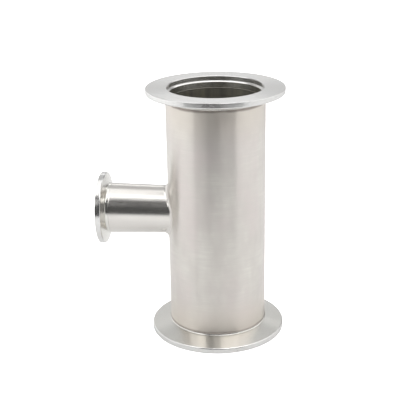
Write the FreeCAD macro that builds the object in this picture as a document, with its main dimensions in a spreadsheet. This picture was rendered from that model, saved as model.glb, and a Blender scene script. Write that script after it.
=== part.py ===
import FreeCAD, Part

import os

import Sketcher
from FreeCAD import Placement, Rotation, Vector

# Welded vacuum tee: a straight run tube with a large clamp flange at each end and a
# smaller branch at mid-height. The origin is the centre of the lower sealing face, the
# run axis points up along +Z and the branch points along -X. Millimetres and degrees.

SIZES = [
    ("run_length", 140.0, "from the lower sealing face to the upper one"),
    ("run_od", 54.0, "outside of the run tube"),
    ("run_wall", 2.0, "wall of the run tube"),
    ("branch_reach", 65.0, "from the run axis to the branch sealing face"),
    ("branch_height", 70.0, "from the lower sealing face to the branch axis"),
    ("branch_od", 28.0, "outside of the branch tube at its flange"),
    ("branch_wall", 2.0, "wall of the branch tube at its flange"),
    ("branch_narrowing", 0.5, "how much less the branch's outside radius is at the collar"),
    ("collar_height", 7.0, "how far the collar stands out from the run tube"),
    ("collar_fillet", 3.0, "outer rounding where the collar flows out of the run tube"),
    ("mouth_rounding", 5.0, "inner rounding where the run bore flows into the branch bore"),
    ("run_flange_od", 75.0, "outside of the large flanges"),
    ("run_recess", 52.2, "centring recess of the large flanges"),
    ("run_hub_land", 0.5, "straight hub between a large flange's cone and its weld"),
    ("branch_flange_od", 40.0, "outside of the small flange"),
    ("branch_recess", 26.2, "centring recess of the small flange"),
    ("branch_hub_land", 1.5, "straight hub between the small flange's cone and its weld"),
    ("rim_thickness", 3.0, "straight edge of a flange, outside the clamping cone"),
    ("cone_angle", 15.0, "slope of the clamping cone, from the plane of the flange"),
    ("recess_depth", 2.6, "depth of a centring recess"),
    ("ledge_bevel", 0.6, "bevel from the recess floor into the bore"),
    ("rim_rounding", 0.8, "rounding between a flange's rim and its clamping cone"),
    ("face_rounding", 0.3, "rounding between a flange's sealing face and its rim"),
    ("mouth_break", 0.25, "broken edge between the sealing face and the recess"),
    ("hub_rounding", 0.6, "rounding between a cone and its hub"),
    ("weld_width", 0.6, "width of each weld bead"),
    ("weld_crown", 0.25, "how far a bead stands out from the run tube"),
    ("ground_crown", 0.06, "how far the ground-down bead at the branch flange stands out"),
    ("weld_root", 0.12, "how far a bead stands into the bore"),
]

# Derived sizes, as expressions of the sheet
RUN_OUTER = "sizes.run_od / 2"
RUN_BORE = "(sizes.run_od / 2 - sizes.run_wall)"
BRANCH_OUTER = "sizes.branch_od / 2"
BRANCH_BORE = "(sizes.branch_od / 2 - sizes.branch_wall)"
COLLAR_OUTER = "(sizes.branch_od / 2 - sizes.branch_narrowing)"
COLLAR_END = "(sizes.run_od / 2 + sizes.collar_height)"
RUN_CONE_RISE = "(sizes.run_flange_od - sizes.run_od) / 2 * tan(sizes.cone_angle)"
RUN_CONE_END = "(sizes.rim_thickness + %s)" % RUN_CONE_RISE
RUN_FLANGE_END = "(%s + sizes.run_hub_land)" % RUN_CONE_END
RUN_TUBE_START = "(%s + sizes.weld_width)" % RUN_FLANGE_END
RUN_TUBE_LENGTH = "(sizes.run_length - 2 * %s)" % RUN_TUBE_START
BRANCH_CONE_RISE = "(sizes.branch_flange_od - sizes.branch_od) / 2 * tan(sizes.cone_angle)"
BRANCH_CONE_END = "(sizes.rim_thickness + %s)" % BRANCH_CONE_RISE
BRANCH_FLANGE_END = "(%s + sizes.branch_hub_land)" % BRANCH_CONE_END
BRANCH_WELD_END = "(sizes.branch_reach - %s)" % BRANCH_FLANGE_END
BRANCH_TUBE_START = "(%s + sizes.weld_width)" % COLLAR_END
BRANCH_TUBE_LENGTH = "(%s - sizes.weld_width - %s)" % (BRANCH_WELD_END, BRANCH_TUBE_START)

# Ways for a piece's own +Z to point in the tee
UP = Rotation()
DOWN = Rotation(Vector(1, 0, 0), 180)
INWARD = Rotation(Vector(0, 1, 0), 90)
OUTWARD = Rotation(Vector(0, 1, 0), -90)

NEAR = 1e-4

document = FreeCAD.newDocument("vacuum_tee")


def make_sheet():
    """The driving dimensions, one to a row, each with its alias and its meaning."""
    sheet = document.addObject("Spreadsheet::Sheet", "sizes")
    for row, (alias, value, meaning) in enumerate(SIZES, start=1):
        sheet.set("A%d" % row, alias)
        sheet.set("B%d" % row, str(value))
        sheet.set("C%d" % row, meaning)
        sheet.setAlias("B%d" % row, alias)
    document.recompute()
    return sheet


sheet_of_sizes = make_sheet()


def value_of(expression):
    """The present value of an expression of the sheet."""
    result = sheet_of_sizes.evalExpression(expression)
    return float(getattr(result, "Value", result))


def new_body(label):
    """An empty body whose label names the sub-part."""
    body = document.addObject("PartDesign::Body", label)
    body.Label = label
    return body


def place(body, rotation, x="0", z="0"):
    """Turn a body and bind its place in the tee to the sheet."""
    body.Placement = Placement(Vector(), rotation)
    body.setExpression("Placement.Base.x", x)
    body.setExpression("Placement.Base.z", z)


def new_sketch(body, name, role):
    """A sketch on one of the body's own origin planes."""
    plane = next(item for item in body.Origin.OriginFeatures if item.Role == role)
    sketch = body.newObject("Sketcher::SketchObject", name)
    sketch.AttachmentSupport = [(plane, "")]
    sketch.MapMode = "FlatFace"
    return sketch


def bind(sketch, kind, where, name, expression):
    """Add one dimension to a sketch and bind it to the sheet."""
    constraint = Sketcher.Constraint(kind, *where, value_of(expression))
    sketch.renameConstraint(sketch.addConstraint(constraint), name)
    sketch.setExpression("Constraints." + name, expression)


def circle_sketch(body, name, role, radius, height=None):
    """A circle round the sketch's origin, or on its vertical axis at a given height."""
    sketch = new_sketch(body, name, role)
    centre = Vector(0, value_of(height) if height else 0, 0)
    sketch.addGeometry(Part.Circle(centre, Vector(0, 0, 1), value_of(radius)))
    bind(sketch, "Radius", (0,), "radius", radius)
    if height:
        sketch.addConstraint(Sketcher.Constraint("PointOnObject", 0, 3, -2))
        bind(sketch, "DistanceY", (-1, 1, 0, 3), "height", height)
    else:
        sketch.addConstraint(Sketcher.Constraint("Coincident", 0, 3, -1, 1))
    return sketch


def side_curve(start, end, bulge):
    """A straight side, or an arc that stands out to the right of the side by its bulge."""
    if not bulge:
        return Part.LineSegment(start, end)
    along = (end - start).normalize()
    middle = (start + end) / 2 + Vector(along.y, -along.x, 0) * value_of(bulge)
    return Part.Arc(start, middle, end)


def profile_sketch(body, corners, bulges=None):
    """A closed half-profile through (radius, height) corners, in the XZ plane.

    The outline runs counter-clockwise. A side named in bulges is an arc that stands out
    by that amount, across a side as long as a weld is wide.
    """
    bulges = bulges or {}
    sketch = new_sketch(body, body.Label + "_profile", "XZ_Plane")
    points = [Vector(value_of(radius), value_of(height), 0) for radius, height in corners]
    sides = range(len(points))
    for side in sides:
        sketch.addGeometry(side_curve(points[side], points[side - len(points) + 1], bulges.get(side)))

    # An arc can come out with its ends the other way round
    starts = [1 if sketch.getPoint(side, 1).isEqual(points[side], NEAR) else 2 for side in sides]
    for side in sides:
        before = side - 1 if side else len(points) - 1
        joint = (before, 3 - starts[before], side, starts[side])
        sketch.addConstraint(Sketcher.Constraint("Coincident", *joint))

    for side, (radius, height) in enumerate(corners):
        here = (side, starts[side])
        name = "corner%d" % side
        upright = side and radius == corners[side - 1][0] and side - 1 not in bulges
        level = side and height == corners[side - 1][1]
        if upright:
            sketch.addConstraint(Sketcher.Constraint("Vertical", side - 1))
        else:
            bind(sketch, "DistanceX", (-1, 1) + here, name + "_radius", radius)
        if level:
            sketch.addConstraint(Sketcher.Constraint("Horizontal", side - 1))
        elif height == "0":
            sketch.addConstraint(Sketcher.Constraint("PointOnObject", *here, -1))
        else:
            bind(sketch, "DistanceY", (-1, 1) + here, name + "_height", height)

    for side, bulge in bulges.items():
        chord = "sizes.weld_width"
        radius = "({0} * {0} / 4 + {1} * {1}) / (2 * {1})".format(chord, bulge)
        bind(sketch, "Radius", (side,), "bulge%d" % side, radius)
    return sketch


def turn(body, corners, bulges=None):
    """Revolve a half-profile into a body round its own Z axis."""
    sketch = profile_sketch(body, corners, bulges)
    revolution = body.newObject("PartDesign::Revolution", body.Label + "_turned")
    revolution.Profile = sketch
    revolution.ReferenceAxis = (sketch, ["V_Axis"])
    revolution.Angle = 360
    document.recompute()
    return revolution


def edge_names(feature, chosen):
    """The names of a feature's edges for which chosen(edge) is true."""
    edges = enumerate(feature.Shape.Edges, start=1)
    names = ["Edge%d" % number for number, edge in edges if chosen(edge)]
    if not names:
        raise RuntimeError("no edge found on " + feature.Label)
    return names


def circle_at(radius, height):
    """A test for the circular edge of a given radius at a given height."""
    wanted_radius = value_of(radius)
    wanted_height = value_of(height)

    def chosen(edge):
        curve = edge.Curve
        if not isinstance(curve, Part.Circle):
            return False
        return abs(curve.Radius - wanted_radius) < NEAR and abs(curve.Center.z - wanted_height) < NEAR

    return chosen


def dress(body, kind, name, tests, size):
    """Round or bevel the edges of a body's last feature that any of the tests picks."""
    base = body.Tip
    names = edge_names(base, lambda edge: any(test(edge) for test in tests))
    feature = body.newObject("PartDesign::" + kind, body.Label + "_" + name)
    feature.Base = (base, names)
    feature.setExpression("Radius" if kind == "Fillet" else "Size", size)
    document.recompute()
    return feature


def pull(body, kind, name, sketch, reversed_way, length=None):
    """Pad or pocket a sketch, to a length bound to the sheet or through everything."""
    feature = body.newObject("PartDesign::" + kind, body.Label + "_" + name)
    feature.Profile = sketch
    feature.Reversed = reversed_way
    if length:
        feature.Type = "Length"
        feature.setExpression("Length", length)
    else:
        feature.Type = "ThroughAll"
    document.recompute()
    return feature


def make_flange(label, outside, hub, bore, recess, cone_end, end):
    """A turned clamp flange, its sealing face at height 0 and its hub along +Z."""
    body = new_body(label)
    corners = [
        (recess, "0"),
        (outside, "0"),
        (outside, "sizes.rim_thickness"),
        (hub, cone_end),
        (hub, end),
        (bore, end),
        (bore, "sizes.recess_depth"),
        (recess, "sizes.recess_depth"),
    ]
    turn(body, corners)
    dress(body, "Fillet", "rim", [circle_at(outside, "sizes.rim_thickness")], "sizes.rim_rounding")
    dress(body, "Fillet", "face", [circle_at(outside, "0")], "sizes.face_rounding")
    dress(body, "Fillet", "hub", [circle_at(hub, cone_end)], "sizes.hub_rounding")
    dress(body, "Chamfer", "ledge", [circle_at(bore, "sizes.recess_depth")], "sizes.ledge_bevel")
    dress(body, "Chamfer", "mouth", [circle_at(recess, "0")], "sizes.mouth_break")
    return body


def make_weld(label, outside, bore, crown=None):
    """A ring of weld metal through the whole wall, from height 0 along +Z.

    It stands a little into the bore. Outside it has a crown, or is ground flush.
    """
    body = new_body(label)
    corners = [
        (bore, "0"),
        (outside, "0"),
        (outside, "sizes.weld_width"),
        (bore, "sizes.weld_width"),
    ]
    bulges = {3: "sizes.weld_root"}
    if crown:
        bulges[1] = crown
    turn(body, corners, bulges)
    return body


def make_branch_tube():
    """The branch tube from the collar weld outward, a little wider at its flange."""
    body = new_body("branch_tube")
    corners = [
        (BRANCH_BORE, "0"),
        (COLLAR_OUTER, "0"),
        (BRANCH_OUTER, BRANCH_TUBE_LENGTH),
        (BRANCH_BORE, BRANCH_TUBE_LENGTH),
    ]
    turn(body, corners)
    place(body, OUTWARD, x="-" + BRANCH_TUBE_START, z="sizes.branch_height")
    return body


def where_pipes_meet(run_radius, branch_radius):
    """A test for the edges in which the two round pipes of the tee cross."""
    run_wanted = value_of(run_radius)
    branch_wanted = value_of(branch_radius)
    height = value_of("sizes.branch_height")

    def chosen(edge):
        for point in edge.discretize(7):
            from_run = Vector(point.x, point.y, 0).Length
            from_branch = Vector(0, point.y, point.z - height).Length
            if abs(from_run - run_wanted) > NEAR or abs(from_branch - branch_wanted) > NEAR:
                return False
        return True

    return chosen


def make_run_tube():
    """The straight tube, with the collar for the branch pulled out of its wall.

    The wall keeps its thickness round the bend: the outside and the inside have each
    their own rounding, both struck from about the same centre.
    """
    body = new_body("run_tube")
    outer = circle_sketch(body, "tube_outside", "XY_Plane", RUN_OUTER)
    outer.setExpression(".AttachmentOffset.Base.z", RUN_TUBE_START)
    pull(body, "Pad", "tube", outer, False, RUN_TUBE_LENGTH)

    collar = circle_sketch(body, "collar_outside", "YZ_Plane", COLLAR_OUTER, "sizes.branch_height")
    pull(body, "Pad", "collar", collar, True, COLLAR_END)
    outer_bend = [where_pipes_meet(RUN_OUTER, COLLAR_OUTER)]
    dress(body, "Fillet", "outer_bend", outer_bend, "sizes.collar_fillet")

    run_bore = circle_sketch(body, "tube_bore", "XY_Plane", RUN_BORE)
    pull(body, "Pocket", "tube_bore_cut", run_bore, True)
    branch_bore = circle_sketch(body, "collar_bore", "YZ_Plane", BRANCH_BORE, "sizes.branch_height")
    pull(body, "Pocket", "collar_bore_cut", branch_bore, False)
    inner_bend = [where_pipes_meet(RUN_BORE, BRANCH_BORE)]
    dress(body, "Fillet", "inner_bend", inner_bend, "sizes.mouth_rounding")
    return body


def make_run_end(name, rotation, face, weld_start):
    """A large flange with its sealing face at one end of the run, and its weld."""
    outside = "sizes.run_flange_od / 2"
    recess = "sizes.run_recess / 2"
    flange = make_flange(
        name + "_run_flange", outside, RUN_OUTER, RUN_BORE, recess, RUN_CONE_END, RUN_FLANGE_END
    )
    place(flange, rotation, z=face)
    weld = make_weld(name + "_run_weld", RUN_OUTER, RUN_BORE, "sizes.weld_crown")
    place(weld, rotation, z=weld_start)
    return [flange, weld]


def make_branch_end():
    """The small flange at the branch's end, and its weld."""
    outside = "sizes.branch_flange_od / 2"
    recess = "sizes.branch_recess / 2"
    flange = make_flange(
        "branch_flange", outside, BRANCH_OUTER, BRANCH_BORE, recess, BRANCH_CONE_END, BRANCH_FLANGE_END
    )
    place(flange, INWARD, x="-sizes.branch_reach", z="sizes.branch_height")
    weld = make_weld("branch_weld", BRANCH_OUTER, BRANCH_BORE, "sizes.ground_crown")
    place(weld, INWARD, x="-" + BRANCH_WELD_END, z="sizes.branch_height")
    return [flange, weld]


def make_collar_weld():
    """The weld between collar and branch tube, ground flush outside."""
    weld = make_weld("collar_weld", COLLAR_OUTER, BRANCH_BORE)
    place(weld, OUTWARD, x="-" + COLLAR_END, z="sizes.branch_height")
    return weld


def check(bodies):
    """Stop where a feature has failed or a body isn't one sound solid."""
    document.recompute()
    for item in document.Objects:
        if "Invalid" in item.State or "Error" in item.State:
            raise RuntimeError("failed: " + item.Label)
    for body in bodies:
        shape = body.Shape
        if shape.isNull() or not shape.isValid() or len(shape.Solids) != 1:
            raise RuntimeError("not one valid solid: " + body.Label)


def write(bodies):
    """Write each body to a STEP file of its own name."""
    os.makedirs("parts", exist_ok=True)
    for body in bodies:
        body.Shape.exportStep("parts/%s.step" % body.Label)


pieces = [make_run_tube()]
pieces += make_run_end("lower", UP, "0", RUN_FLANGE_END)
pieces += make_run_end("upper", DOWN, "sizes.run_length", "sizes.run_length - " + RUN_FLANGE_END)
pieces += [make_branch_tube(), make_collar_weld()]
pieces += make_branch_end()
check(pieces)
write(pieces)
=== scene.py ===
import math
from collections import namedtuple

import bmesh
import bpy
from mathutils import Matrix, Vector


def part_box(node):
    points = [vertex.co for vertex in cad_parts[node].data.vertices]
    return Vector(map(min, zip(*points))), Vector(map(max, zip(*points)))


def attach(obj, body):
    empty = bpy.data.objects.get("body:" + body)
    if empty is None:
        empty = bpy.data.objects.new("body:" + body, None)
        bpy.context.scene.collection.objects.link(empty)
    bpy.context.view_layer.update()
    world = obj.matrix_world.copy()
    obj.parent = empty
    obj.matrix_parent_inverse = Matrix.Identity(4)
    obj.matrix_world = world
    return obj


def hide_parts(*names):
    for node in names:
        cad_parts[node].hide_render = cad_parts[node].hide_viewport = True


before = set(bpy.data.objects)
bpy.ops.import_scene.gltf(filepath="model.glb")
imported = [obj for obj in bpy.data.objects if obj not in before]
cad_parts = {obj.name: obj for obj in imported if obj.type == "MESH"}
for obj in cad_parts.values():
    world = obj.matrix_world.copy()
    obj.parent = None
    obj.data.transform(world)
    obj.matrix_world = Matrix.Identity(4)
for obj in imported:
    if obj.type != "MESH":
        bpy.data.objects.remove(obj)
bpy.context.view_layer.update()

# The welded vacuum tee in satin stainless steel, on a white table inside a white tent
# whose front is open towards the camera. Everything is in metres, in the frame's axes.

# Sizes that the frame gives
tube_low, tube_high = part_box("run_tube")
lower_flange_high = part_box("lower_run_flange")[1]
upper_flange_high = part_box("upper_run_flange")[1]
branch_flange_low, branch_flange_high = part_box("branch_flange")
branch_tube_low, branch_tube_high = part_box("branch_tube")

RUN_LENGTH = upper_flange_high.z
RUN_FLANGE_RADIUS = lower_flange_high.y
RUN_FLANGE_END = lower_flange_high.z
BRANCH_HEIGHT = (branch_tube_low.z + branch_tube_high.z) / 2
BRANCH_REACH = -branch_flange_low.x
BRANCH_FLANGE_RADIUS = branch_flange_high.y
BRANCH_FLANGE_END = branch_flange_high.x - branch_flange_low.x
BRANCH_TUBE_LENGTH = branch_tube_high.x - branch_tube_low.x
COLLAR_END = -tube_low.x
WELD_WIDTH = tube_low.z - RUN_FLANGE_END

# Radii and small sizes, the same as the solids have
RUN_OUTER = 0.027
RUN_WALL = 0.002
RUN_BORE = RUN_OUTER - RUN_WALL
BRANCH_OUTER = 0.014
BRANCH_WALL = 0.002
BRANCH_BORE = BRANCH_OUTER - BRANCH_WALL
COLLAR_OUTER = 0.0135
COLLAR_FILLET = 0.003
MOUTH_ROUNDING = 0.005
RUN_RECESS = 0.0261
BRANCH_RECESS = 0.0131
RECESS_DEPTH = 0.0026
RIM_THICKNESS = 0.003
CONE_ANGLE = math.radians(15)
RIM_ROUNDING = 0.0008
FACE_ROUNDING = 0.0003
HUB_ROUNDING = 0.0006
LEDGE_BEVEL = 0.0006
MOUTH_BREAK = 0.00025
WELD_CROWN = 0.00025
GROUND_CROWN = 0.00006
WELD_ROOT = 0.00012

# How finely round shapes are divided
TURNS = 256
RIM_STEPS = 7
FACE_STEPS = 4
HUB_STEPS = 5
CROWN_STEPS = 8
ROOT_STEPS = 6
SHARP_ANGLE = math.radians(35)

# The patch of the run's wall round the branch: half its turn and height, and its cells
PATCH_TURN = math.pi / 4
PATCH_RISE = 0.021
PATCH_CELLS = 48
PATCH_FLAT_ROWS = 10
PATCH_BALL_ROWS = 14
PATCH_COLLAR_ROWS = 3

# Distances under which two places count as one
SAME_POINT = 1e-7
SAME_PLACE = 1e-6
SAME_SEAM = 2e-6
SAME_RIM = 1e-5

RUN_AXIS = Vector((0, 0, 1))
BRANCH_AXIS = Vector((1, 0, 0))
RUN_FOOT = Vector((0, 0, 0))
RUN_MIDDLE = Vector((0, 0, RUN_LENGTH / 2))
BRANCH_CENTRE = Vector((0, 0, BRANCH_HEIGHT))


def end_place(x, z, angle, axis):
    """Where a piece goes that is turned about +Z with its start at the origin."""
    return Matrix.Translation((x, 0, z)) @ Matrix.Rotation(angle, 4, axis)


AT_LOWER_END = Matrix.Identity(4)
AT_UPPER_END = end_place(0, RUN_LENGTH, math.pi, "X")
AT_BRANCH_END = end_place(-BRANCH_REACH, BRANCH_HEIGHT, math.pi / 2, "Y")
AT_COLLAR_END = end_place(-COLLAR_END, BRANCH_HEIGHT, -math.pi / 2, "Y")


def lifted(place, height):
    """The same place, further along the piece's own axis."""
    return place @ Matrix.Translation((0, 0, height))


def object_of(bm, name, material):
    """Make a bmesh an object of the scene, in one material."""
    mesh = bpy.data.meshes.new(name)
    bm.to_mesh(mesh)
    bm.free()
    mesh.materials.append(material)
    made = bpy.data.objects.new(name, mesh)
    bpy.context.scene.collection.objects.link(made)
    return made


def link_piece(bm, name, node, material):
    """Make a bmesh a piece of the tee, in place of the CAD node that it stands for."""
    bmesh.ops.remove_doubles(bm, verts=bm.verts, dist=SAME_POINT)
    bmesh.ops.recalc_face_normals(bm, faces=bm.faces)
    piece = object_of(bm, name, material)
    piece.data.shade_smooth()
    piece.data.set_sharp_from_angle(angle=SHARP_ANGLE)
    weighted = piece.modifiers.new("flat faces stay flat", "WEIGHTED_NORMAL")
    weighted.keep_sharp = True
    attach(piece, "root")
    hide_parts(node)
    return piece


def spin_outline(corners):
    """A bmesh of a closed (radius, height) outline, spun once round +Z."""
    bm = bmesh.new()
    verts = [bm.verts.new((radius, 0, height)) for radius, height in corners]
    edges = [bm.edges.new((verts[number - 1], vert)) for number, vert in enumerate(verts)]
    bmesh.ops.spin(
        bm, geom=verts + edges, cent=(0, 0, 0), axis=(0, 0, 1),
        angle=2 * math.pi, steps=TURNS, use_merge=True,
    )
    bmesh.ops.remove_doubles(bm, verts=bm.verts, dist=SAME_POINT)
    return bm


def bevel_circle(bm, radius, height, offset, segments=1):
    """Bevel or round the circular edge of a turned piece at a given radius and height."""
    def on_circle(vert):
        from_axis = math.hypot(vert.co.x, vert.co.y)
        return abs(from_axis - radius) < SAME_PLACE and abs(vert.co.z - height) < SAME_PLACE

    edges = [edge for edge in bm.edges if all(on_circle(vert) for vert in edge.verts)]
    bmesh.ops.bevel(
        bm, geom=edges, offset=offset, offset_type="OFFSET", segments=segments,
        profile=0.5, affect="EDGES", material=-1, clamp_overlap=True,
    )


def flange(name, node, place, outside, hub, bore, recess, end, material):
    """A turned clamp flange: rim, clamping cone, short hub, and the recess in its face."""
    cone_end = RIM_THICKNESS + (outside - hub) * math.tan(CONE_ANGLE)
    bm = spin_outline([
        (recess, 0),
        (outside, 0),
        (outside, RIM_THICKNESS),
        (hub, cone_end),
        (hub, end),
        (bore, end),
        (bore, RECESS_DEPTH),
        (recess, RECESS_DEPTH),
    ])

    # How far a rounding of radius 1 reaches from the corner of an upright side and the cone
    reach = math.tan((math.pi / 2 - CONE_ANGLE) / 2)
    bevel_circle(bm, outside, 0, FACE_ROUNDING, FACE_STEPS)
    bevel_circle(bm, outside, RIM_THICKNESS, RIM_ROUNDING * reach, RIM_STEPS)
    bevel_circle(bm, hub, cone_end, HUB_ROUNDING * reach, HUB_STEPS)
    bevel_circle(bm, bore, RECESS_DEPTH, LEDGE_BEVEL)
    bevel_circle(bm, recess, 0, MOUTH_BREAK)
    bm.transform(place)
    return link_piece(bm, name, node, material)


def bulge(radius, height_from, height_to, stand_out, steps):
    """Points of a shallow round bead between two heights, both ends left out."""
    points = []
    for step in range(1, steps):
        share = step / steps
        height = height_from + (height_to - height_from) * share
        points.append((radius + stand_out * 4 * share * (1 - share), height))
    return points


def weld(name, node, place, outside, bore, crown, material):
    """A ring of weld metal through the wall, crowned or flush outside, its root in the bore."""
    outline = [(bore, 0), (outside, 0)]
    if crown:
        outline += bulge(outside, 0, WELD_WIDTH, crown, CROWN_STEPS)
    outline += [(outside, WELD_WIDTH), (bore, WELD_WIDTH)]
    outline += bulge(bore, WELD_WIDTH, 0, -WELD_ROOT, ROOT_STEPS)
    bm = spin_outline(outline)
    bm.transform(place)
    return link_piece(bm, name, node, material)


def branch_tube(material):
    """The short tube between collar and branch flange, a little narrower at the collar."""
    bm = spin_outline([
        (BRANCH_BORE, 0),
        (COLLAR_OUTER, 0),
        (BRANCH_OUTER, BRANCH_TUBE_LENGTH),
        (BRANCH_BORE, BRANCH_TUBE_LENGTH),
    ])
    bm.transform(lifted(AT_COLLAR_END, WELD_WIDTH))
    return link_piece(bm, "branch_tube_ground", "branch_tube", material)


def grid_of(bm, columns, rows, placed):
    """Add a grid of columns by rows cells, each vertex put where placed(column, row) says."""
    half = 0.5
    made = bmesh.ops.create_grid(bm, x_segments=columns, y_segments=rows, size=half)["verts"]
    for vert in made:
        column = round((vert.co.x + half) * columns)
        row = round((vert.co.y + half) * rows)
        vert.co = placed(column, row)
    return made


def on_run(radius, turn, height):
    """A point on a run wall of that radius; turn 0 faces the branch."""
    return Vector((-radius * math.cos(turn), radius * math.sin(turn), height))


def patch_edge(step):
    """Turn and height of a step along the square patch's edge, from its top middle."""
    side, along = divmod(step + PATCH_CELLS // 2, PATCH_CELLS)
    share = 2 * along / PATCH_CELLS - 1
    turn, rise = [(share, 1), (1, -share), (-share, -1), (-1, share)][side % 4]
    return turn * PATCH_TURN, rise * PATCH_RISE


def plain_wall(bm, run_radius):
    """One skin of the run tube, with a square opening where the patch round the branch goes."""
    around = 4 * PATCH_CELLS
    heights = [tube_low.z]
    for row in range(PATCH_CELLS + 1):
        heights.append(BRANCH_HEIGHT + PATCH_RISE * (2 * row / PATCH_CELLS - 1))
    heights.append(tube_high.z)

    def tube_point(column, row):
        return on_run(run_radius, 2 * math.pi * column / around - PATCH_TURN, heights[row])

    tube = grid_of(bm, around, len(heights) - 1, tube_point)
    opening = []
    for face in {face for vert in tube for face in vert.link_faces}:
        middle = face.calc_center_median()
        turn = math.atan2(middle.y, -middle.x)
        if abs(turn) < PATCH_TURN and abs(middle.z - BRANCH_HEIGHT) < PATCH_RISE:
            opening.append(face)
    bmesh.ops.delete(bm, geom=opening, context="FACES")


def branch_patch(bm, run_radius, branch_radius, rounding):
    """The patch of a skin that flows from the run into the collar over a rolled rounding.

    A ball of the rounding's radius that touches both pipes rolls round the branch. The
    patch goes from its square edge on the run to the ball's touch line, over the ball, and
    out along the collar.
    """
    def patch_point(column, row):
        turn, rise = patch_edge(column)
        angle = math.atan2(turn / PATCH_TURN, rise / PATCH_RISE)
        side = math.sin(angle)
        up = math.cos(angle)
        reach = branch_radius + rounding
        out = math.sqrt((run_radius + rounding) ** 2 - (reach * side) ** 2)
        ball = Vector((-out, reach * side, reach * up))
        share_of_run = run_radius / (run_radius + rounding)
        on_tube = Vector((ball.x * share_of_run, ball.y * share_of_run, ball.z))
        on_collar = Vector((ball.x, branch_radius * side, branch_radius * up))
        if row <= PATCH_FLAT_ROWS:
            share = row / PATCH_FLAT_ROWS
            touch_turn = math.atan2(on_tube.y, -on_tube.x)
            turn_here = turn + (touch_turn - turn) * share
            rise_here = rise + (on_tube.z - rise) * share
            return on_run(run_radius, turn_here, BRANCH_HEIGHT + rise_here)
        if row <= PATCH_FLAT_ROWS + PATCH_BALL_ROWS:
            share = (row - PATCH_FLAT_ROWS) / PATCH_BALL_ROWS
            spoke = (on_tube - ball).slerp(on_collar - ball, share) * rounding
            return ball + spoke + BRANCH_CENTRE
        share = (row - PATCH_FLAT_ROWS - PATCH_BALL_ROWS) / PATCH_COLLAR_ROWS
        end = Vector((-COLLAR_END, on_collar.y, on_collar.z))
        return on_collar.lerp(end, share) + BRANCH_CENTRE

    rows = PATCH_FLAT_ROWS + PATCH_BALL_ROWS + PATCH_COLLAR_ROWS
    grid_of(bm, 4 * PATCH_CELLS, rows, patch_point)


def run_wall(bm, run_radius, branch_radius, rounding):
    """One whole skin of the run tube and its collar."""
    plain_wall(bm, run_radius)
    branch_patch(bm, run_radius, branch_radius, rounding)
    bmesh.ops.remove_doubles(bm, verts=bm.verts, dist=SAME_PLACE)


def close_end(bm, on_end, centre, axis, from_radius, to_radius):
    """Join the two skins at an open end: the outer rim is drawn in to meet the inner one."""
    def on_rim(vert):
        offset = vert.co - centre
        from_axis = (offset - axis * offset.dot(axis)).length
        return on_end(vert.co) and abs(from_axis - from_radius) < SAME_RIM

    rim = [edge for edge in bm.edges if edge.is_boundary and all(on_rim(vert) for vert in edge.verts)]
    made = bmesh.ops.extrude_edge_only(bm, edges=rim)["geom"]
    for vert in [item for item in made if isinstance(item, bmesh.types.BMVert)]:
        offset = vert.co - centre
        along = axis * offset.dot(axis)
        vert.co = centre + along + (offset - along) * (to_radius / from_radius)


def run_tube(outside_material, bore_material, collar_material):
    """The run tube with its pulled collar: two skins, joined at the three open ends."""
    bm = bmesh.new()
    run_wall(bm, RUN_OUTER, COLLAR_OUTER, COLLAR_FILLET)
    outer_faces = len(bm.faces)
    run_wall(bm, RUN_BORE, BRANCH_BORE, MOUTH_ROUNDING)
    bm.faces.ensure_lookup_table()
    for face in bm.faces[outer_faces:]:
        face.material_index = 1
    for face in bm.faces[:outer_faces]:
        from_axis = [math.hypot(vert.co.x, vert.co.y) for vert in face.verts]
        if min(from_axis) > RUN_OUTER - SAME_PLACE and max(from_axis) > RUN_OUTER + SAME_PLACE:
            face.material_index = 2

    for height in (tube_low.z, tube_high.z):
        close_end(
            bm, lambda co: abs(co.z - height) < SAME_PLACE,
            RUN_FOOT, RUN_AXIS, RUN_OUTER, RUN_BORE,
        )
    close_end(
        bm, lambda co: abs(co.x + COLLAR_END) < SAME_PLACE,
        BRANCH_CENTRE, BRANCH_AXIS, COLLAR_OUTER, BRANCH_BORE,
    )
    bmesh.ops.remove_doubles(bm, verts=bm.verts, dist=SAME_SEAM)
    piece = link_piece(bm, "run_tube_drawn", "run_tube", outside_material)
    piece.data.materials.append(bore_material)
    piece.data.materials.append(collar_material)
    return piece


# The middle part of a noise, over which a pattern goes from one tone to the other
NOISE_LOW = 0.35
NOISE_HIGH = 0.65

# A wider part of a noise, for softer changes
SOFT_LOW = 0.3
SOFT_HIGH = 0.7

# The numbers of a Mix node's colour sockets
MIX_FIRST = 6
MIX_SECOND = 7
MIX_RESULT = 2


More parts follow.
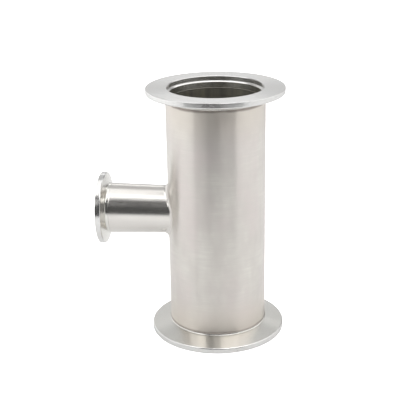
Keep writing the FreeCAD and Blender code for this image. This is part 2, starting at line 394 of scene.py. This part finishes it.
class Nodes:
    """A short way to build a material's nodes."""

    def __init__(self, name):
        self.material = bpy.data.materials.new(name)
        self.material.use_nodes = True
        self.tree = self.material.node_tree
        self.shader = self.tree.nodes["Principled BSDF"]
        self.position = self.add("ShaderNodeTexCoord").outputs["Object"]

    def add(self, kind, **settings):
        node = self.tree.nodes.new(kind)
        for key, value in settings.items():
            setattr(node, key, value)
        return node

    def fill(self, socket, value):
        """Link an output to a socket, or set the socket to a plain value."""
        if isinstance(value, bpy.types.NodeSocket):
            self.tree.links.new(value, socket)
        elif value is not None:
            socket.default_value = value

    def math(self, operation, first, second=None):
        node = self.add("ShaderNodeMath", operation=operation)
        self.fill(node.inputs[0], first)
        self.fill(node.inputs[1], second)
        return node.outputs[0]

    def vector(self, operation, first, second=None):
        node = self.add("ShaderNodeVectorMath", operation=operation)
        self.fill(node.inputs[0], first)
        self.fill(node.inputs[1], second)
        return node.outputs["Value" if operation in ("LENGTH", "DOT_PRODUCT") else "Vector"]

    def scaled(self, vector, factor):
        node = self.add("ShaderNodeVectorMath", operation="SCALE")
        self.fill(node.inputs[0], vector)
        node.inputs["Scale"].default_value = factor
        return node.outputs["Vector"]

    def noise(self, where, scale, detail=2.0, roughness=0.5):
        node = self.add("ShaderNodeTexNoise")
        self.fill(node.inputs["Vector"], where)
        node.inputs["Scale"].default_value = scale
        node.inputs["Detail"].default_value = detail
        node.inputs["Roughness"].default_value = roughness
        return node.outputs["Fac"]

    def stretched_noise(self, factors, scale, detail=2.0, roughness=0.5):
        """A noise drawn out along an axis by a factor under 1, or squeezed by one over 1."""
        where = self.vector("MULTIPLY", self.position, factors)
        return self.noise(where, scale, detail, roughness)

    def span(self, value, low, high, to_low, to_high, smooth=False):
        """Carry a value from one range to another, held at both ends."""
        node = self.add("ShaderNodeMapRange", interpolation_type="SMOOTHSTEP" if smooth else "LINEAR")
        for socket, number in zip(node.inputs[:5], (value, low, high, to_low, to_high)):
            self.fill(socket, number)
        return node.outputs["Result"]

    def patches(self, noise, strength=1.0):
        """A share that goes quickly from 0 in one part of a noise to the strength in the other."""
        return self.span(noise, NOISE_LOW, NOISE_HIGH, 0.0, strength)

    def soft(self, noise, low, high):
        """Carry a noise to a range of values, with soft changes."""
        return self.span(noise, SOFT_LOW, SOFT_HIGH, low, high)

    def mix(self, share, first, second):
        node = self.add("ShaderNodeMix", data_type="RGBA")
        self.fill(node.inputs[0], share)
        self.fill(node.inputs[MIX_FIRST], first)
        self.fill(node.inputs[MIX_SECOND], second)
        return node.outputs[MIX_RESULT]

    def bump(self, height, strength, distance):
        node = self.add("ShaderNodeBump")
        node.inputs["Strength"].default_value = strength
        node.inputs["Distance"].default_value = distance
        self.fill(node.inputs["Height"], height)
        self.fill(self.shader.inputs["Normal"], node.outputs["Normal"])

    def coat(self, tone, rough):
        """Give the shader its tone and its roughness, and keep both for a later coat."""
        self.tone = tone
        self.rough = rough
        self.fill(self.shader.inputs["Base Color"], tone)
        self.fill(self.shader.inputs["Roughness"], rough)

    def from_axis(self, centre, axis):
        """The way from an axis to the point, and the point's place along the axis."""
        offset = self.vector("SUBTRACT", self.position, tuple(centre))
        across = Vector((1, 1, 1)) - axis
        outward = self.vector("MULTIPLY", offset, tuple(across))
        return outward, self.vector("DOT_PRODUCT", offset, tuple(axis))


# Tones of the steel
SATIN_TONE = (0.755, 0.735, 0.685, 1)
SATIN_SHADE = (0.67, 0.64, 0.605, 1)
SATIN_BLUSH = (0.705, 0.645, 0.625, 1)
SATIN_STRAW = (0.70, 0.645, 0.575, 1)
# The dark tint beside the run's beads is partly heat tint and partly painted shade
HEAT_TINT_AND_SHADE = (0.33, 0.29, 0.265, 1)
# The beads' tones: their own weld tint with painted shade at the joints with the flanges
BEAD_TINT_AND_SHADE = (0.42, 0.38, 0.345, 1)
BEAD_SHADE = (0.33, 0.30, 0.275, 1)
BRIGHT_TONE = (0.725, 0.705, 0.675, 1)
BRIGHT_SHADE = (0.70, 0.675, 0.645, 1)
TURNED_TONE = (0.74, 0.74, 0.73, 1)
TURNED_SHADE = (0.72, 0.71, 0.695, 1)
TURNED_STRAW = (0.745, 0.735, 0.70, 1)
SCUFFED_TONE = (0.66, 0.655, 0.645, 1)
# The bore's tones: steel darkened as painted shade inside the tube
SHADED_BORE_TONE = (0.42, 0.40, 0.33, 1)
SHADED_BORE_DARK = (0.28, 0.27, 0.24, 1)

# Finishes polished or turned round an axis
Finish = namedtuple("Finish", "tone shade roughness anisotropy line_strength")
BRIGHT = Finish(BRIGHT_TONE, BRIGHT_SHADE, roughness=0.24, anisotropy=0.4, line_strength=0.03)
TURNED = Finish(TURNED_TONE, TURNED_SHADE, roughness=0.22, anisotropy=0.85, line_strength=0.04)
TURNED_SMALL = Finish(TURNED_TONE, TURNED_SHADE, roughness=0.22, anisotropy=0.75, line_strength=0.03)
SATIN = Finish(SATIN_TONE, SATIN_SHADE, roughness=0.3, anisotropy=0.9, line_strength=0.008)

# The fine relief of the surfaces
LINE_SCALE = 2600.0
LINE_WANDER = 0.0004
LINE_DEPTH = 0.00002
STREAK_DEPTH = 0.00003
RIPPLE_DEPTH = 0.00004

# How much roughness varies on a polished or turned surface, with its patches and its lines
PATCH_ROUGHNESS = 0.02
LINE_ROUGHNESS = 0.01

# The collar's foot, which is duller up to this far out from the run's wall
FOOT_WIDTH = 0.0009
FOOT_DULLING = 0.07

# The flanges: the straw tone from the cone's outer edge on, and the scuffs near the rim's edges
STRAW_STEP = 0.0002
STRAW_FADE = 0.0006
SCUFF_INNER = 0.0012
SCUFF_OUTER = 0.0003
SCUFF_LOW = 0.52
SCUFF_HIGH = 0.64
SCUFF_STRENGTH = 0.45
SCUFF_DULLING = 0.12

# The run's outside: upright clouds, blushes, level streaks of two widths, and its roughness
CLOUD_STRETCH = (1.0, 1.0, 0.5)
BLUSH_SHIFT = (0.5, 0.5, 0.5)
BLUSH_LOW = 0.45
BLUSH_STRENGTH = 0.8
STREAK_STRETCHES = ((1.0, 1.0, 5.0), (1.0, 1.0, 16.0))
STREAK_STRENGTH = 0.4
SATIN_ROUGHNESS = (0.29, 0.33)
SATIN_LINE_ROUGHNESS = 0.006

# The straw tone near both ends of the tube, and the dark tint of heat and painted shade beside
# the beads: how far they reach from an end, and how much weaker the dark one is at the lower end
STRAW_FROM = 0.003
STRAW_TO = 0.022
STRAW_STRENGTH = 0.6
HEAT_SHADE_WIDTH = 0.0012
HEAT_SHADE_WANDER = 0.0003
LOWER_HEAT_SHADE = 0.55
HEAT_SHADE_CHANGE = 0.03

# The run's beads, dark with weld tint and painted shade: ripples round them outside, and the root in
# the bore's painted-shade tone
RIPPLE_RATE = 150.0
RIPPLE_WANDER = 4.0
ROOT_FROM = RUN_BORE + 0.0005
ROOT_TO = RUN_BORE + 0.001
ROOT_ROUGHNESS = 0.6
BEAD_ROUGHNESS = (0.3, 0.38)

# The run's bore, whose tones are painted shade: streaks along it, and its roughness
BORE_STRETCH = (1.0, 1.0, 0.02)
BORE_ROUGHNESS = (0.42, 0.55)


def steel(name, tone, roughness, anisotropy=0.0):
    """Bare stainless steel to start a finish from."""
    nodes = Nodes(name)
    nodes.shader.inputs["Metallic"].default_value = 1.0
    nodes.shader.inputs["Anisotropic"].default_value = anisotropy
    nodes.coat(tone, roughness)
    return nodes


def round_steel(name, centre, axis, finish):
    """Steel whose fine lines run round an axis, so that its gloss spreads along the meridian.

    Its nodes also hold the way out from the axis, the place along it, and the lines.
    """
    nodes = steel(name, finish.tone, finish.roughness, finish.anisotropy)
    nodes.outward, nodes.along = nodes.from_axis(centre, axis)
    direction = nodes.vector("NORMALIZE", nodes.outward)
    nodes.fill(nodes.shader.inputs["Tangent"], nodes.vector("ADD", direction, tuple(axis)))

    # The lines are nearly the same all the way round
    profile = nodes.add("ShaderNodeCombineXYZ")
    nodes.fill(profile.inputs["X"], nodes.vector("LENGTH", nodes.outward))
    nodes.fill(profile.inputs["Y"], nodes.along)
    where = nodes.vector("ADD", profile.outputs["Vector"], nodes.scaled(direction, LINE_WANDER))
    nodes.lines = nodes.noise(where, LINE_SCALE, detail=3.0, roughness=0.6)
    nodes.bump(nodes.lines, finish.line_strength, LINE_DEPTH)
    return nodes


def polished_round(name, centre, axis, finish, satin_foot=False):
    """Steel polished or turned round an axis, with cloudy patches of tone and roughness.

    A satin foot is duller where it leaves the run.
    """
    nodes = round_steel(name, centre, axis, finish)
    clouds = nodes.noise(nodes.position, scale=75.0, detail=3.0, roughness=0.55)
    tone = nodes.mix(nodes.patches(clouds), finish.tone, finish.shade)
    rough = nodes.soft(clouds, finish.roughness - PATCH_ROUGHNESS, finish.roughness + PATCH_ROUGHNESS)
    rough = nodes.math("ADD", rough, nodes.soft(nodes.lines, -LINE_ROUGHNESS, LINE_ROUGHNESS))
    if satin_foot:
        from_run, _ = nodes.from_axis(RUN_FOOT, RUN_AXIS)
        standing_out = nodes.math("SUBTRACT", nodes.vector("LENGTH", from_run), RUN_OUTER)
        foot = nodes.span(standing_out, 0.0, FOOT_WIDTH, 1.0, 0.0, smooth=True)
        tone = nodes.mix(foot, tone, SATIN_SHADE)
        rough = nodes.math("ADD", rough, nodes.span(foot, 0.0, 1.0, 0.0, FOOT_DULLING))
    nodes.coat(tone, rough)
    return nodes


def flange_steel(name, centre, axis, finish, face, outside):
    """Turned steel, straw coloured on the cone by the weld's heat and scuffed at the rim's edges.

    The face is how far the sealing face lies from the centre, along the axis either way.
    """
    nodes = polished_round(name, centre, axis, finish)
    from_centre = nodes.math("ABSOLUTE", nodes.along)
    straw_from = face - RIM_THICKNESS + STRAW_STEP
    on_cone = nodes.span(from_centre, straw_from, straw_from - STRAW_FADE, 0.0, 1.0)
    tone = nodes.mix(on_cone, nodes.tone, TURNED_STRAW)

    from_axis = nodes.vector("LENGTH", nodes.outward)
    near_rim = nodes.span(from_axis, outside - SCUFF_INNER, outside - SCUFF_OUTER, 0.0, 1.0)
    marks = nodes.noise(nodes.position, scale=700.0, detail=3.0, roughness=0.7)
    scuffs = nodes.span(marks, SCUFF_LOW, SCUFF_HIGH, 0.0, SCUFF_STRENGTH)
    scuffs = nodes.math("MULTIPLY", near_rim, scuffs)
    dulling = nodes.span(scuffs, 0.0, 1.0, 0.0, SCUFF_DULLING)
    nodes.coat(nodes.mix(scuffs, tone, SCUFFED_TONE), nodes.math("ADD", nodes.rough, dulling))
    return nodes.material


def run_steel():
    """Satin steel polished round the run, in soft cloudy patches, tinted at its ends.

    The tint is a straw tone at first, and dark beside the bead with heat tint and painted shade, most
    at the upper end.
    """
    nodes = round_steel("satin_run", RUN_MIDDLE, RUN_AXIS, SATIN)
    upright = nodes.vector("MULTIPLY", nodes.position, CLOUD_STRETCH)
    clouds = nodes.noise(upright, scale=110.0, detail=2.0, roughness=0.6)
    blush = nodes.noise(nodes.vector("ADD", upright, BLUSH_SHIFT), scale=60.0, detail=2.0)
    tone = nodes.mix(nodes.patches(clouds), SATIN.tone, SATIN.shade)
    blush_share = nodes.span(blush, BLUSH_LOW, NOISE_HIGH, 0.0, BLUSH_STRENGTH)
    tone = nodes.mix(blush_share, tone, SATIN_BLUSH)
    for stretch in STREAK_STRETCHES:
        streaks = nodes.stretched_noise(stretch, scale=90.0, detail=1.0)
        tone = nodes.mix(nodes.patches(streaks, STREAK_STRENGTH), tone, SATIN.shade)

    half_tube = (tube_high.z - tube_low.z) / 2
    from_end = nodes.math("SUBTRACT", half_tube, nodes.math("ABSOLUTE", nodes.along))
    straw = nodes.span(from_end, STRAW_FROM, STRAW_TO, STRAW_STRENGTH, 0.0, smooth=True)
    tone = nodes.mix(straw, tone, SATIN_STRAW)
    # A dark band beside each bead: heat tint with painted shade, stronger at the upper end as painted
    # shade under the flange
    wander = nodes.span(blush, NOISE_LOW, NOISE_HIGH, -HEAT_SHADE_WANDER, HEAT_SHADE_WANDER)
    ragged = nodes.math("ADD", from_end, wander)
    heat_and_shade = nodes.span(ragged, 0.0, HEAT_SHADE_WIDTH, 1.0, 0.0, smooth=True)
    shade_share_by_height = nodes.span(nodes.along, -HEAT_SHADE_CHANGE, HEAT_SHADE_CHANGE, LOWER_HEAT_SHADE, 1.0)
    heat_and_shade = nodes.math("MULTIPLY", heat_and_shade, shade_share_by_height)

    rough = nodes.soft(clouds, *SATIN_ROUGHNESS)
    by_lines = nodes.soft(nodes.lines, -SATIN_LINE_ROUGHNESS, SATIN_LINE_ROUGHNESS)
    nodes.coat(nodes.mix(heat_and_shade, tone, HEAT_TINT_AND_SHADE), nodes.math("ADD", rough, by_lines))
    return nodes.material


def bore_steel():
    """The drawn inside of the run tube: duller, with faint streaks along it, its tone darkened as
    painted shade inside the tube.
    """
    nodes = steel("drawn_bore", SHADED_BORE_TONE, roughness=0.5)
    streaks = nodes.stretched_noise(BORE_STRETCH, scale=160.0, detail=3.0, roughness=0.6)
    clouds = nodes.noise(nodes.position, scale=60.0, detail=2.0)
    # Both bore tones are dark as painted shade inside the tube; the streaks between them are real
    tone = nodes.mix(nodes.patches(streaks), SHADED_BORE_DARK, SHADED_BORE_TONE)
    nodes.coat(tone, nodes.soft(clouds, *BORE_ROUGHNESS))
    nodes.bump(streaks, strength=0.1, distance=STREAK_DEPTH)
    return nodes.material


def bead_steel():
    """The run's fused beads, dark with weld tint and painted shade: ripples round them outside, and a
    dull root in the bore.
    """
    nodes = steel("run_bead", BEAD_TINT_AND_SHADE, roughness=0.3)
    outward, _ = nodes.from_axis(RUN_FOOT, RUN_AXIS)
    parts = nodes.add("ShaderNodeSeparateXYZ")
    nodes.fill(parts.inputs[0], outward)
    turn = nodes.math("ARCTAN2", parts.outputs["Y"], parts.outputs["X"])
    clouds = nodes.noise(nodes.position, scale=300.0, detail=2.0)
    turned = nodes.math("MULTIPLY", turn, RIPPLE_RATE)
    wobble = nodes.math("ADD", turned, nodes.math("MULTIPLY", clouds, RIPPLE_WANDER))
    ripple = nodes.math("ABSOLUTE", nodes.math("SINE", wobble))

    outside = nodes.span(nodes.vector("LENGTH", outward), ROOT_FROM, ROOT_TO, 0.0, 1.0)
    # The bead's dark tone is weld tint plus painted shade; the root takes the bore's painted shade
    tone = nodes.mix(nodes.patches(clouds), BEAD_TINT_AND_SHADE, BEAD_SHADE)
    rough = nodes.span(outside, 0.0, 1.0, ROOT_ROUGHNESS, nodes.soft(clouds, *BEAD_ROUGHNESS))
    nodes.coat(nodes.mix(outside, SHADED_BORE_DARK, tone), rough)
    nodes.bump(ripple, strength=0.15, distance=RIPPLE_DEPTH)
    return nodes.material


def run_ends():
    """The flange and the weld at each end of the run."""
    turned = flange_steel(
        "turned_run_flange", RUN_MIDDLE, RUN_AXIS, TURNED, RUN_LENGTH / 2, RUN_FLANGE_RADIUS
    )
    run_bead = bead_steel()
    for end, place in (("lower", AT_LOWER_END), ("upper", AT_UPPER_END)):
        node = end + "_run_flange"
        flange(
            node + "_turned", node, place, RUN_FLANGE_RADIUS,
            RUN_OUTER, RUN_BORE, RUN_RECESS, RUN_FLANGE_END, turned,
        )
        node = end + "_run_weld"
        weld(
            node + "_bead", node, lifted(place, RUN_FLANGE_END),
            RUN_OUTER, RUN_BORE, WELD_CROWN, run_bead,
        )


def branch_ends(bright):
    """The flange at the branch's mouth, and the ground welds at both ends of its tube."""
    turned = flange_steel(
        "turned_branch_flange", BRANCH_CENTRE, BRANCH_AXIS, TURNED_SMALL,
        BRANCH_REACH, BRANCH_FLANGE_RADIUS,
    )
    flange(
        "branch_flange_turned", "branch_flange", AT_BRANCH_END, BRANCH_FLANGE_RADIUS,
        BRANCH_OUTER, BRANCH_BORE, BRANCH_RECESS, BRANCH_FLANGE_END, turned,
    )
    weld(
        "branch_weld_ground", "branch_weld", lifted(AT_BRANCH_END, BRANCH_FLANGE_END),
        BRANCH_OUTER, BRANCH_BORE, GROUND_CROWN, bright,
    )
    weld(
        "collar_weld_flush", "collar_weld", AT_COLLAR_END,
        COLLAR_OUTER, BRANCH_BORE, 0, bright,
    )


def build_tee():
    """All nine pieces of the tee, in the places of their CAD nodes."""
    bright = polished_round("bright_branch", BRANCH_CENTRE, BRANCH_AXIS, BRIGHT).material
    collar = polished_round("bright_collar", BRANCH_CENTRE, BRANCH_AXIS, BRIGHT, satin_foot=True)
    run_tube(run_steel(), bore_steel(), collar.material)
    branch_tube(bright)
    run_ends()
    branch_ends(bright)


# The white tent's edges and divisions, and the dim room in front of it
TENT_LEFT = -0.60
TENT_RIGHT = 0.66
TENT_FRONT = -0.62
TENT_RIGHT_FRONT = -0.53
TENT_BACK = 0.90
TENT_HEIGHT = 1.0
PANEL_LOW = 0.45
SHOULDER_HEIGHT = 0.35
UPPER_HEIGHT = 0.65
SLOT_LEFT = -0.33
SLOT_RIGHT = -0.10
RIGHT_PANEL_LEFT = 0.16
FRONT_PART = -0.25
BACK_PART = 0.20
BACK_LEFT = -0.30
BACK_MIDDLE = 0.03
BACK_RIGHT = 0.36
LAMP_FRONT = -0.42
LAMP_BACK = -0.10
ROOF_STEP = 0.45
ROOM_TONE = 0.05

# Parts of the tent, each with its lower and upper, or its left and right, edge
LOW = (0, SHOULDER_HEIGHT)
SHOULDER = (SHOULDER_HEIGHT, UPPER_HEIGHT)
HIGH = (UPPER_HEIGHT, TENT_HEIGHT)
FULL_HEIGHT = (0, TENT_HEIGHT)
FULL_WIDTH = (TENT_LEFT, TENT_RIGHT)
BACK_WIDTH = (BACK_LEFT, BACK_RIGHT)

# The table, which glows more to the metal in a pool in front of the tee
TABLE_FRONT = -0.47
TABLE_WIDTH = 8.0
TABLE_DEPTH = 4.0
TABLE_TOP = -0.0002
TABLE_TONE = 0.85
TABLE_ROUGHNESS = 0.9
TABLE_GLOW = 0.05
POOL_GLOW = 0.2
POOL_CENTRE = (0.0, -0.19, 0.0)
POOL_RADIUS = 0.14
WHITE_TO_CAMERA = 1.2

# Dark screens on the camera's side
SCREEN_TONE = 0.08
TALL_SCREEN = (0.50, 0.02, 1.8)
TALL_SCREEN_CENTRE = (-0.05, -0.75, 0.6)
LOW_SCREEN = (0.19, 0.02, 0.12)
LOW_SCREEN_CENTRE = (0.005, -0.36, 0.06)


def grey(level):
    """An even grey, as a colour."""
    return (level, level, level, 1)


def soft_light(name, place, aim, width, height, radiance):
    """A large soft panel of even brightness that the camera itself doesn't see."""
    data = bpy.data.lights.new(name, "AREA")
    data.shape = "RECTANGLE"
    data.size = width
    data.size_y = height
    data.energy = math.pi * width * height * radiance
    panel = bpy.data.objects.new(name, data)
    panel.location = place
    panel.rotation_euler = Vector(aim).to_track_quat("-Z", "Y").to_euler()
    panel.visible_camera = False
    bpy.context.scene.collection.objects.link(panel)


def white_table():
    """A large white table: pure white to the camera, and soft white to the metal.

    It glows a little more to the metal in front of the tee, where the light is strongest.
    """
    nodes = Nodes("white_table")
    nodes.shader.inputs["Base Color"].default_value = grey(TABLE_TONE)
    nodes.shader.inputs["Roughness"].default_value = TABLE_ROUGHNESS
    nodes.shader.inputs["Emission Color"].default_value = grey(1)
    distance = nodes.vector("LENGTH", nodes.vector("SUBTRACT", nodes.position, POOL_CENTRE))
    glow = nodes.span(distance, POOL_RADIUS / 2, POOL_RADIUS, POOL_GLOW, TABLE_GLOW, smooth=True)
    path = nodes.add("ShaderNodeLightPath")
    seen = nodes.span(path.outputs["Is Camera Ray"], 0.0, 1.0, glow, WHITE_TO_CAMERA)
    nodes.fill(nodes.shader.inputs["Emission Strength"], seen)

    bm = bmesh.new()
    bmesh.ops.create_grid(bm, x_segments=1, y_segments=1, size=0.5)
    bmesh.ops.scale(bm, vec=(TABLE_WIDTH, TABLE_DEPTH, 1), verts=bm.verts)
    bmesh.ops.translate(bm, vec=(0, TABLE_FRONT + TABLE_DEPTH / 2, TABLE_TOP), verts=bm.verts)
    table = object_of(bm, "table", nodes.material)


def white_surround():
    """White to the camera all round, and the dim room in front of the tent to the metal."""
    world = bpy.data.worlds.new("surround")
    world.use_nodes = True
    tree = world.node_tree
    background = tree.nodes["Background"]
    path = tree.nodes.new("ShaderNodeLightPath")
    tone = tree.nodes.new("ShaderNodeMix")
    tone.data_type = "RGBA"
    tone.inputs[MIX_FIRST].default_value = grey(ROOM_TONE)
    tone.inputs[MIX_SECOND].default_value = grey(WHITE_TO_CAMERA)
    tree.links.new(path.outputs["Is Camera Ray"], tone.inputs[0])
    tree.links.new(tone.outputs[MIX_RESULT], background.inputs["Color"])
    bpy.context.scene.world = world


def wall_light(name, x, depth, heights, radiance):
    """An upright part of a side wall, facing the tee."""
    front, back = depth
    low, high = heights
    place = (x, (front + back) / 2, (low + high) / 2)
    soft_light(name, place, (-math.copysign(1, x), 0, 0), back - front, high - low, radiance)


def end_light(name, y, width, heights, radiance):
    """An upright part of the tent's front or back, facing the tee."""
    left, right = width
    low, high = heights
    place = ((left + right) / 2, y, (low + high) / 2)
    soft_light(name, place, (0, -math.copysign(1, y), 0), right - left, high - low, radiance)


def roof_light(name, width, depth, radiance):
    """A part of the roof, facing down."""
    left, right = width
    front, back = depth
    place = ((left + right) / 2, (front + back) / 2, TENT_HEIGHT)
    soft_light(name, place, (0, 0, -1), right - left, back - front, radiance)


def light_sides():
    """The side walls in parts, brightest high up in front, where the lamps are."""
    left = (TENT_FRONT, TENT_BACK)
    right = (TENT_RIGHT_FRONT, TENT_BACK)
    wall_light("left_wall", TENT_LEFT, left, LOW, radiance=1.1)
    wall_light("right_wall", TENT_RIGHT, right, LOW, radiance=0.85)
    wall_light("left_front", TENT_LEFT, (TENT_FRONT, FRONT_PART), SHOULDER, radiance=0.3)
    wall_light("right_front", TENT_RIGHT, (TENT_RIGHT_FRONT, FRONT_PART), SHOULDER, radiance=0.3)
    wall_light("left_shoulder", TENT_LEFT, (FRONT_PART, TENT_BACK), SHOULDER, radiance=0.85)
    wall_light("right_shoulder", TENT_RIGHT, (FRONT_PART, TENT_BACK), SHOULDER, radiance=1.15)
    wall_light("left_key", TENT_LEFT, (TENT_FRONT, BACK_PART), HIGH, radiance=2.0)
    wall_light("left_back", TENT_LEFT, (BACK_PART, TENT_BACK), HIGH, radiance=0.3)
    wall_light("right_key", TENT_RIGHT, (TENT_RIGHT_FRONT, FRONT_PART), HIGH, radiance=3.5)
    wall_light("right_back", TENT_RIGHT, (FRONT_PART, TENT_BACK), HIGH, radiance=1.9)


def light_ends():
    """The front, with a slot that the camera looks through, and the back wall in parts."""
    end_light("left_panel", TENT_FRONT, (TENT_LEFT, SLOT_LEFT), SHOULDER, radiance=2.6)
    end_light("right_panel", TENT_FRONT, (RIGHT_PANEL_LEFT, TENT_RIGHT), HIGH, radiance=3.5)
    end_light("back_left", TENT_BACK, (TENT_LEFT, BACK_LEFT), FULL_HEIGHT, radiance=0.65)
    end_light("back_low", TENT_BACK, BACK_WIDTH, (0, PANEL_LOW), radiance=0.65)
    middle = (PANEL_LOW, UPPER_HEIGHT)
    end_light("back_panel", TENT_BACK, (BACK_LEFT, BACK_MIDDLE), middle, radiance=1.65)
    end_light("back_right", TENT_BACK, (BACK_MIDDLE, BACK_RIGHT), middle, radiance=0.85)
    end_light("back_high", TENT_BACK, BACK_WIDTH, HIGH, radiance=0.6)
    end_light("back_corner", TENT_BACK, (BACK_RIGHT, TENT_RIGHT), FULL_HEIGHT, radiance=0.3)


def light_roof():
    """The roof in parts, with a slot in the foremost one."""
    front = (TENT_FRONT, LAMP_FRONT)
    roof_light("left_front_roof", (TENT_LEFT, SLOT_LEFT), front, radiance=2.75)
    roof_light("right_front_roof", (SLOT_RIGHT, TENT_RIGHT), front, radiance=2.75)
    roof_light("overhead_lamp", FULL_WIDTH, (LAMP_FRONT, LAMP_BACK), radiance=1.8)
    roof_light("roof", FULL_WIDTH, (LAMP_BACK, ROOF_STEP), radiance=1.35)
    roof_light("back_roof", FULL_WIDTH, (ROOF_STEP, TENT_BACK), radiance=0.6)


def dark_cloth():
    """A matt dark material, with a little light of its own."""
    material = bpy.data.materials.new("dark_cloth")
    material.use_nodes = True
    tree = material.node_tree
    tree.nodes.remove(tree.nodes["Principled BSDF"])
    glow = tree.nodes.new("ShaderNodeEmission")
    glow.inputs["Color"].default_value = grey(SCREEN_TONE)
    tree.links.new(glow.outputs["Emission"], tree.nodes["Material Output"].inputs["Surface"])
    return material


def dark_screen(name, material, size, centre):
    """A dark screen on the camera's side, which only the metal sees."""
    bm = bmesh.new()
    bmesh.ops.create_cube(bm, size=1)
    bmesh.ops.scale(bm, vec=size, verts=bm.verts)
    bmesh.ops.translate(bm, vec=centre, verts=bm.verts)
    screen = object_of(bm, name, material)
    screen.visible_camera = False


def dark_side():
    """What is dark round the camera: a tall screen behind it and a low one on the table."""
    cloth = dark_cloth()
    dark_screen("tall_screen", cloth, TALL_SCREEN, TALL_SCREEN_CENTRE)
    dark_screen("low_screen", cloth, LOW_SCREEN, LOW_SCREEN_CENTRE)


# The camera, fitted to the outlines in the photograph, with its lens and sensor in millimetres
CAMERA_PLACE = Vector((0.05002, -0.49947, 0.25655))
CAMERA_YAW = math.radians(-6.146)
CAMERA_PITCH = math.radians(20.397)
CAMERA_ROLL = math.radians(-0.811)
CAMERA_LENS = 82.392
CAMERA_SENSOR = 36
CAMERA_NEAR = 0.01
CAMERA_FAR = 100


def camera():
    """The photograph's viewpoint."""
    data = bpy.data.cameras.new("camera")
    data.sensor_width = CAMERA_SENSOR
    data.lens = CAMERA_LENS
    data.clip_start = CAMERA_NEAR
    data.clip_end = CAMERA_FAR
    viewer = bpy.data.objects.new("camera", data)
    turned = Matrix.Rotation(-CAMERA_YAW, 4, "Z")
    tipped = Matrix.Rotation(math.pi / 2 - CAMERA_PITCH, 4, "X")
    rolled = Matrix.Rotation(CAMERA_ROLL, 4, "Z")
    viewer.matrix_world = Matrix.Translation(CAMERA_PLACE) @ turned @ tipped @ rolled
    bpy.context.scene.collection.objects.link(viewer)
    bpy.context.scene.camera = viewer


build_tee()
white_table()
white_surround()
light_sides()
light_ends()
light_roof()
dark_side()
camera()
bpy.context.scene.view_settings.view_transform = "Standard"
